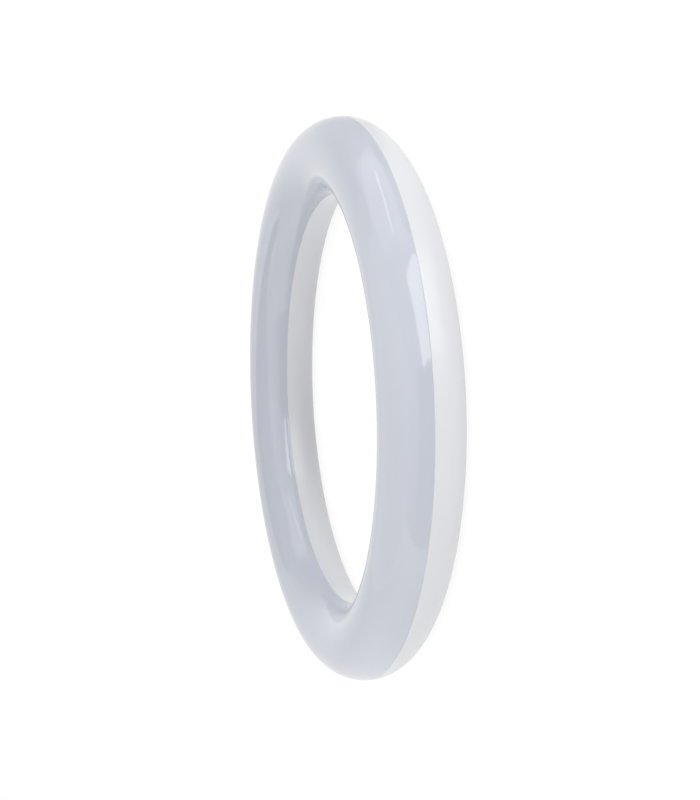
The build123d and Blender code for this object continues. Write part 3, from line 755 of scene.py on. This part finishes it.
opal_cover = moulded_plastic(
    "opal_cover", (0.600, 0.628, 0.706), (0.628, 0.655, 0.728),
    cloud=30 * MM, peel=1.6 * MM, gloss=(0.05, 0.08), bump=0.04, ior=SHELL_IOR,
)
white_shell = moulded_plastic(
    "white_shell", (0.800, 0.806, 0.835), (0.825, 0.830, 0.856),
    cloud=24 * MM, peel=1.1 * MM, gloss=(0.28, 0.34), bump=0.05, ior=SHELL_IOR,
)
carrier_moulding = moulded_plastic(
    "carrier_moulding", (0.74, 0.74, 0.715), (0.78, 0.78, 0.755),
    cloud=7 * MM, peel=0.4 * MM, gloss=(0.42, 0.52), bump=0.25,
)
turned_brass = metal(
    "turned_brass", clean=(0.70, 0.50, 0.21), dull=(0.52, 0.36, 0.15),
    grain=0.45 * MM, tarnish=3.0 * MM, gloss=(0.16, 0.30), bump=0.25, draw=(6.0, 0.6, 0.6),
)
zinc_plate = metal(
    "zinc_plate", clean=(0.60, 0.61, 0.63), dull=(0.45, 0.46, 0.49),
    grain=0.35 * MM, tarnish=1.8 * MM, gloss=(0.24, 0.40), bump=0.3,
)
tinned_copper = metal(
    "tinned_copper", clean=(0.68, 0.68, 0.69), dull=(0.52, 0.53, 0.55),
    grain=0.30 * MM, tarnish=1.4 * MM, gloss=(0.18, 0.34), bump=0.4,
)
led_white = moulded_plastic(
    "led_white", (0.80, 0.80, 0.78), (0.84, 0.84, 0.82),
    cloud=2 * MM, peel=0.2 * MM, gloss=(0.40, 0.50), bump=0.1,
)
led_phosphor = moulded_plastic(
    "led_phosphor", (0.78, 0.60, 0.10), (0.86, 0.70, 0.16),
    cloud=0.8 * MM, peel=0.15 * MM, gloss=(0.22, 0.34), bump=0.2,
)
light_board_mask = printed_board("light_board_mask", (0.74, 0.74, 0.71), (0.82, 0.82, 0.80), led_pours)
driver_board_mask = printed_board(
    "driver_board_mask", (0.012, 0.075, 0.026), (0.020, 0.120, 0.042), driver_tracks
)
fuse_lacquer = banded_body(
    "fuse_lacquer", "fuse", (0.12, 0.24, 0.29), (0.15, 0.28, 0.33), band_tone=(0.03, 0.02, 0.015),
    band_places=(-1.4 * MM, 0.0, 1.4 * MM), band_width=0.55 * MM, gloss=(0.25, 0.36),
)
varistor_dip = moulded_plastic(
    "varistor_dip", (0.008, 0.030, 0.22), (0.013, 0.045, 0.29),
    cloud=2.5 * MM, peel=0.9 * MM, gloss=(0.22, 0.34), bump=0.6,
)
film_box = moulded_plastic(
    "film_box", (0.24, 0.013, 0.008), (0.30, 0.018, 0.011),
    cloud=3 * MM, peel=0.35 * MM, gloss=(0.36, 0.46), bump=0.2,
)
choke_sleeve = moulded_plastic(
    "choke_sleeve", (0.0045, 0.0045, 0.0047), (0.008, 0.008, 0.0084),
    cloud=2 * MM, peel=0.6 * MM, gloss=(0.30, 0.44), bump=0.4,
)
chip_compound = moulded_plastic(
    "chip_compound", (0.0038, 0.0038, 0.0040), (0.0065, 0.0065, 0.0068),
    cloud=1.0 * MM, peel=0.12 * MM, gloss=(0.50, 0.62), bump=0.4,
)
bulk_can_sleeve = can_sleeve("bulk_can_sleeve", "bulk_capacitor", -4.6 * MM)
output_can_sleeve = can_sleeve("output_can_sleeve", "output_capacitor", -3.1 * MM)
sintered_ferrite = moulded_plastic(
    "sintered_ferrite", (0.014, 0.014, 0.015), (0.024, 0.024, 0.025),
    cloud=0.8 * MM, peel=0.10 * MM, gloss=(0.55, 0.70), bump=0.5,
)
winding_tape = banded_body(
    "winding_tape", "transformer_winding", (0.62, 0.38, 0.012), (0.69, 0.44, 0.018),
    band_tone=(0.50, 0.29, 0.008), band_places=(-1.9 * MM, 1.9 * MM), band_width=0.3 * MM, gloss=(0.20, 0.32),
)
live_insulation = lead_insulation("live_insulation", (0.050, 0.015, 0.006), (0.068, 0.021, 0.008))
neutral_insulation = lead_insulation("neutral_insulation", (0.007, 0.026, 0.17), (0.010, 0.036, 0.22))


# Pieces

def moulding(name, node, side, finish):
    """The smooth stand-in for one of the two mouldings."""
    centre = (CARRIER_LOW + CARRIER_HIGH) / 2
    values = {
        "Ring Radius": RING_R,
        "Tube Height": TUBE_Z,
        "Tube Radius": TUBE_R,
        "Skin": WALL_SKIN,
        "Seam Height": SEAM_Z,
        "Seam Land": SEAM_LAND,
        "Land Margin": LAND_MARGIN,
        "Side": side,
        "Sink": FACET_SINK,
        "Margin": WALL_MARGIN,
        "Ring Segments": RING_SEGMENTS,
        "Arc Segments": ARC_SEGMENTS,
        "Opening Near": CARRIER_HIGH.x,
        "Opening Far": RING_R,
        "Opening Width": CARRIER_HIGH.y - CARRIER_LOW.y + 2 * (CAP_CLEARANCE - CAP_LEDGE),
        "Opening Height": CARRIER_HIGH.z - CARRIER_LOW.z + 2 * CAP_CLEARANCE,
        "Opening Level": centre.z,
        "Sharp Angle": SHARP_ANGLE,
        "Finish": finish,
    }
    made = grow(name, SMOOTH_MOULDING, values, nodes[node].data.copy())
    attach(made, "root")
    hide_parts(node)
    return made


def at_ring(angle, height):
    """A point above the ring's centre line."""
    return (math.cos(angle) * RING_R, math.sin(angle) * RING_R, height)


def plain_points(name, points, joined=False):
    """A mesh of bare points in metres, joined in a row or loose."""
    mesh = bpy.data.meshes.new(name)
    row = [(before, before + 1) for before in range(len(points) - 1)] if joined else []
    mesh.from_pydata(points, row, [])
    return mesh


def screw_outline(head, thread_start, length):
    """Outline of a screw with a head, a thread and a blunt tip, in millimetres."""
    turns = int((length - SCREW_TIP_LENGTH - thread_start) / THREAD_PITCH)
    outline = list(head)
    for turn in range(turns):
        outline.append((thread_start + turn * THREAD_PITCH, THREAD_ROOT))
        outline.append((thread_start + (turn + 0.5) * THREAD_PITCH, THREAD_CREST))
    outline.append((thread_start + turns * THREAD_PITCH, THREAD_ROOT))
    return outline + [(length, SCREW_TIP_RADIUS), (length, 0.0)]


def turned_pieces(name, node, outline, points, axis_turn, finish, has_recess=False, seed=0):
    """Turned pins or screws that stand for a CAD node, spun from an outline in millimetres."""
    drawn = plain_points(name + "_outline", [(along * MM, radius * MM, 0) for along, radius in outline], True)
    drawn_object = bpy.data.objects.new(name + "_outline", drawn)
    bpy.context.scene.collection.objects.link(drawn_object)
    values = {
        "Outline": drawn_object,
        "Axis Turn": axis_turn,
        "Ring Segments": TURNED_SEGMENTS,
        "Has Recess": has_recess,
        "Recess Reach": RECESS_REACH * MM,
        "Recess Width": RECESS_WIDTH * MM,
        "Recess Depth": RECESS_DEPTH * MM,
        "Recess Mouth": RECESS_MOUTH,
        "Recess End": RECESS_END,
        "Turn Seed": seed,
        "Sharp Angle": SHARP_ANGLE,
        "Finish": finish,
    }
    made = grow(name, TURNED_PART, values, plain_points(name, points))
    bpy.data.objects.remove(drawn_object)
    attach(made, "root")
    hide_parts(node)


def screws(name, node, outline, points, axis_turn, seed):
    """Plated screws with a cross recess."""
    turned_pieces(name, node, outline, points, axis_turn, zinc_plate, True, seed)


SMOOTH_MOULDING = smooth_moulding_tree(round_wall_tree())
ring_diffuser = moulding("ring_diffuser", "diffuser", 1.0, opal_cover)
ring_housing = moulding("ring_housing", "housing", -1.0, white_shell)

# Contact pins and screws of the cap
TURNED_PART = turned_part_tree()
cap_level = (CARRIER_LOW.z + CARRIER_HIGH.z) / 2
pin_low, pin_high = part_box("contact_pins")
pin_y = (pin_high.y - pin_low.y) / 2 - PIN_RADIUS * MM
pin_z = (pin_high.z - pin_low.z) / 2 - PIN_RADIUS * MM
pin_points = [(CARRIER_LOW.x, y, cap_level + z) for y in (-pin_y, pin_y) for z in (-pin_z, pin_z)]
turned_pieces("cap_pins", "contact_pins", PIN_OUTLINE, pin_points, AXIS_ALONG_X, turned_brass)
screw_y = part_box("carrier_screws")[1].y - SCREW_HEAD_RADIUS * MM
carrier_points = [(CARRIER_LOW.x, -screw_y, cap_level), (CARRIER_LOW.x, screw_y, cap_level)]
sunk_screw = screw_outline(SUNK_HEAD, SUNK_THREAD_START, SUNK_SCREW_LENGTH)
screws("cap_screws", "carrier_screws", sunk_screw, carrier_points, AXIS_ALONG_X, seed=4)

# Screws of the light boards and of the driver board
board_low, board_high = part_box("board_screws")
board_turns = [math.radians(90 * board + turn) for board in range(LIGHT_BOARDS) for turn in BOARD_SCREW_TURNS]
board_points = [at_ring(angle, board_high.z) for angle in board_turns]
pan_screw = screw_outline(PAN_HEAD, PAN_THREAD_START, (board_high.z - board_low.z) / MM)
screws("light_board_screws", "board_screws", pan_screw, board_points, AXIS_DOWN, seed=9)
driver_low, driver_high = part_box("driver_screws")
driver_turn = math.acos((driver_high.x - SCREW_HEAD_RADIUS * MM) / RING_R)
driver_points = [at_ring(angle, driver_high.z) for angle in (driver_turn, math.pi / 2 - driver_turn)]
short_screw = screw_outline(PAN_HEAD, PAN_THREAD_START, (driver_high.z - driver_low.z) / MM)
screws("driver_board_screws", "driver_screws", short_screw, driver_points, AXIS_DOWN, seed=2)

# Led packages, a row on each light board
LED_ROW = led_row_tree()
for board in range(LIGHT_BOARDS):
    node = "led_row_%d" % (board + 1)
    led_low, led_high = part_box(node)
    led_values = {
        "Ring Radius": RING_R,
        "Board Level": led_low.z,
        "Count": LEDS_PER_BOARD,
        "First Angle": board * math.pi / 2 + LED_PITCH / 2,
        "Pitch Angle": LED_PITCH,
        "Length": LED_LENGTH,
        "Width": LED_WIDTH,
        "Height": led_high.z - led_low.z,
        "Cut Corner": LED_CUT_CORNER,
        "Dish Share": DISH_SHARE,
        "Dish Depth": DISH_DEPTH,
        "Dish Floor Share": DISH_FLOOR_SHARE,
        "Package": led_white,
        "Phosphor": led_phosphor,
    }
    leds = grow("led_packages_%d" % (board + 1), LED_ROW, led_values)
    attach(leds, "root")
    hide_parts(node)

# Finishes of the solids that stay as they are
NODE_FINISHES = {
    "pin_carrier": carrier_moulding,
    "board_links": tinned_copper,
    "output_pins": tinned_copper,
    "driver_board": driver_board_mask,
    "fuse": fuse_lacquer,
    "varistor": varistor_dip,
    "film_capacitor": film_box,
    "filter_choke": choke_sleeve,
    "bridge_rectifier": chip_compound,
    "controller": chip_compound,
    "output_diode": chip_compound,
    "chip_resistors": chip_compound,
    "bulk_capacitor": bulk_can_sleeve,
    "output_capacitor": output_can_sleeve,
    "transformer_core": sintered_ferrite,
    "transformer_winding": winding_tape,
    "lead_live": live_insulation,
    "lead_neutral": neutral_insulation,
}
for board in range(LIGHT_BOARDS):
    NODE_FINISHES["light_board_%d" % (board + 1)] = light_board_mask
for node, finish in NODE_FINISHES.items():
    nodes[node].material_slots[0].material = finish


# Studio

def background_rays(tree):
    """1 for the rays that show the plain white surroundings: seen directly, in gloss or through glass."""
    rays = put(tree, "ShaderNodeLightPath").outputs
    seen = calc(tree, "MAXIMUM", rays["Is Camera Ray"], rays["Is Glossy Ray"])
    return calc(tree, "MAXIMUM", seen, rays["Is Transmission Ray"])


def white_world():
    """White surroundings, a little dimmer in the light that they give to matt surfaces."""
    world = bpy.data.worlds.new("studio_white")
    bpy.context.scene.world = world
    world.use_nodes = True
    tree = world.node_tree
    strength = spread(tree, background_rays(tree), (0.0, 1.0), (AMBIENT, 1.0))
    tree.links.new(strength, tree.nodes["Background"].inputs["Strength"])
    tree.nodes["Background"].inputs["Color"].default_value = WHITE


def studio_material(name):
    """A material without a shader, its tree and the socket for its surface."""
    material, tree, shader = new_material(name)
    tree.nodes.remove(shader)
    return material, tree, tree.nodes["Material Output"].inputs["Surface"]


def glow(tree, strength):
    """White light from a surface."""
    return put(tree, "ShaderNodeEmission", {"Color": WHITE, "Strength": strength}).outputs[0]


def matt(tree, colour):
    """A matt surface."""
    return put(tree, "ShaderNodeBsdfDiffuse", {"Color": colour}).outputs[0]


def added(tree, first, second):
    """Two shaders together."""
    return put(tree, "ShaderNodeAddShader", {0: first, 1: second}).outputs[0]


def floor_material():
    """White floor that glows to the rays that show the surroundings and keeps a soft shadow of the ring.

    It gives light back to matt surfaces, less of it round one place inside the ring, where a shade is painted
    into its colour.
    """
    material, tree, surface = studio_material("floor_white")
    # Painted shade: a soft round spot where the floor's bounce colour and glow are dimmed
    from_shade = vector_calc(tree, "DISTANCE", object_place(tree), SHADE_PLACE)["Value"]
    levels = (SHADE_LEVEL, 1.0)
    shade = spread(tree, from_shade, (0.0, SHADE_REACH), levels, interpolation_type="SMOOTHSTEP")
    bounce = matt(tree, vector_calc(tree, "SCALE", (FLOOR_BOUNCE,) * 3, Scale=shade)[0])
    lit = added(tree, bounce, glow(tree, calc(tree, "MULTIPLY", shade, FLOOR_LIFT)))
    shown = added(tree, matt(tree, (FLOOR_SHADOW_TINT,) * 3 + (1,)), glow(tree, FLOOR_GLOW))
    mixed = put(tree, "ShaderNodeMixShader", {0: background_rays(tree), 1: lit, 2: shown})
    tree.links.new(mixed.outputs[0], surface)
    return material


def wall_material():
    """Light of the walls and flags that the camera does not see, at the level kept in their points."""
    material, tree, surface = studio_material("studio_level")
    material.cycles.emission_sampling = "NONE"
    level = put(tree, "ShaderNodeAttribute", attribute_name="level").outputs["Fac"]
    tree.links.new(glow(tree, level), surface)
    return material


def stage_mesh(name, material, points, faces, levels=()):
    """A piece of the studio, with a level of light kept in its points where levels are given."""
    mesh = bpy.data.meshes.new(name)
    mesh.from_pydata(points, [], faces)
    mesh.materials.append(material)
    if levels:
        mesh.attributes.new("level", "FLOAT", "POINT").data.foreach_set("value", levels)
    made = bpy.data.objects.new(name, mesh)
    bpy.context.scene.collection.objects.link(made)
    return made


def floor():
    """The floor. Gloss looks through it to the same white beyond, and so to the lower half of the lamps."""
    half = FLOOR_SIZE / 2
    corners = [(-half, -half, 0), (half, -half, 0), (half, half, 0), (-half, half, 0)]
    stage_mesh("floor", floor_material(), corners, [(0, 1, 2, 3)]).visible_glossy = False


def between(first, last, share):
    """A value part of the way from one to another."""
    return first + (last - first) * share


def studio_wall(name, stops, height_range, fades=False):
    """A curved wall that shows only in gloss, between two heights in metres.

    Its stops give the level at each turn in degrees. Where it fades, it is white at both heights.
    """
    points, kept, faces = [], [], []
    row = STUDIO_WALL_STEPS + 1
    for column in range(row):
        turn = between(stops[0][0], stops[-1][0], column / STUDIO_WALL_STEPS)
        before, after = next(pair for pair in zip(stops, stops[1:]) if turn <= pair[1][0] + 1e-6)
        level = between(before[1], after[1], (turn - before[0]) / (after[0] - before[0]))
        around = Matrix.Rotation(math.radians(turn), 3, "Z")
        for rise in range(row):
            up = rise / STUDIO_WALL_STEPS
            points.append(around @ Vector((STUDIO_WALL_RADIUS, 0, between(*height_range, up))))
            kept.append(between(1, level, math.sin(math.pi * up)) if fades else level)
    for column in range(STUDIO_WALL_STEPS):
        for rise in range(STUDIO_WALL_STEPS):
            corner = column * row + rise
            faces.append((corner, corner + row, corner + row + 1, corner + 1))
    wall = stage_mesh(name, STUDIO_LEVEL, points, faces, kept)
    wall.visible_camera = wall.visible_diffuse = wall.visible_shadow = wall.visible_transmission = False


def grey_flag(name, outline, level):
    """A sloping grey flag over the far side of the ring that the camera does not see."""
    corners = [Vector((x, y, FLAG_EDGE_Z + FLAG_SLOPE * (x - FLAG_EDGE_X))) * MM for x, y in outline]
    flag = stage_mesh(name, STUDIO_LEVEL, corners, [range(len(corners))], [level] * len(corners))
    flag.visible_camera = flag.visible_shadow = flag.visible_transmission = False
    return flag


def softbox(name, azimuth, elevation, width, height, radiance, roll=0, distance=1.0):
    """A lamp that faces the origin, in the middle of the ring, rolled about that line.

    Its azimuth is counted from +X towards +Y. Angles are in degrees and sizes in metres.
    """
    lamp = bpy.data.lights.new(name, "AREA")
    lamp.shape = "RECTANGLE"
    lamp.size = width
    lamp.size_y = height
    lamp.energy = radiance * math.pi * width * height
    made = bpy.data.objects.new(name, lamp)
    bpy.context.scene.collection.objects.link(made)
    turn, rise = math.radians(azimuth), math.radians(elevation)
    direction = Vector((math.cos(turn) * math.cos(rise), math.sin(turn) * math.cos(rise), math.sin(rise)))
    place = direction * distance
    facing = (-place).to_track_quat("-Z", "Y").to_matrix().to_4x4()
    rolled = facing @ Matrix.Rotation(math.radians(roll), 4, "Z")
    made.matrix_world = Matrix.Translation(place) @ rolled
    return made


STUDIO_LEVEL = wall_material()
white_world()
floor()
studio_wall("studio_dark", [(-56, 0.75), (11, 0.25)], (-0.45, 0.66))
studio_wall("studio_side", [(-150, 1.0), (-118, 1.55), (-90, 1.55), (-56, 1.75)], (-0.60, 1.70), fades=True)
grey_stops = [(108, 0.50), (125, 0.45), (140, 0.62), (152, 0.92), (165, 1.10), (200, 1.0)]
studio_wall("studio_grey", grey_stops, (-0.60, 1.90))
studio_wall("studio_low", [(62, 0.35), (108, 0.35)], (-0.36, -0.02))
grey_flag("matt_flag", MATT_FLAG, MATT_FLAG_LEVEL).visible_glossy = False
grey_flag("gloss_flag", GLOSS_FLAG, GLOSS_FLAG_LEVEL).visible_diffuse = False
softbox("key_softbox", 32, -3.3, width=0.67, height=0.68, radiance=2.65, roll=16)
key_foot = softbox("key_foot", 36, -31, width=0.60, height=0.50, radiance=2.65, roll=16)
key_foot.visible_diffuse = False
key_foot.light_linking.receiver_collection = bpy.data.collections.new("lit_by_key_foot")
key_foot.light_linking.receiver_collection.objects.link(ring_housing)
softbox("fill_softbox", 83.5, 20, width=0.75, height=1.16, radiance=0.42, roll=-23.6)
fill_tube = softbox("fill_tube", 79, 18.6, width=0.50, height=0.045, radiance=2.0, roll=-23.6, distance=0.98)
fill_tube.visible_diffuse = False
softbox("side_softbox", -100, 12, width=0.9, height=0.9, radiance=0.3).visible_glossy = False
softbox("overhead_softbox", 245.3, 84.3, width=2.0, height=1.6, radiance=0.3).visible_diffuse = False


def photo_camera():
    """The camera of the photograph, rolled about its line of sight."""
    camera = bpy.data.cameras.new("photo_camera")
    camera.lens = CAMERA_LENS
    camera.sensor_width = CAMERA_SENSOR
    camera.clip_start, camera.clip_end = CAMERA_CLIP
    made = bpy.data.objects.new("photo_camera", camera)
    bpy.context.scene.collection.objects.link(made)
    ahead = (CAMERA_AIM - CAMERA_PLACE).normalized()
    level = ahead.cross(Vector((0, 0, 1))).normalized()
    up = level.cross(ahead) * math.cos(CAMERA_ROLL) + level * math.sin(CAMERA_ROLL)
    right = ahead.cross(up)
    turn = Matrix((right, up, -ahead)).transposed().to_4x4()
    made.matrix_world = Matrix.Translation(CAMERA_PLACE) @ turn
    bpy.context.scene.camera = made


photo_camera()
bpy.context.scene.view_settings.view_transform = "Standard"
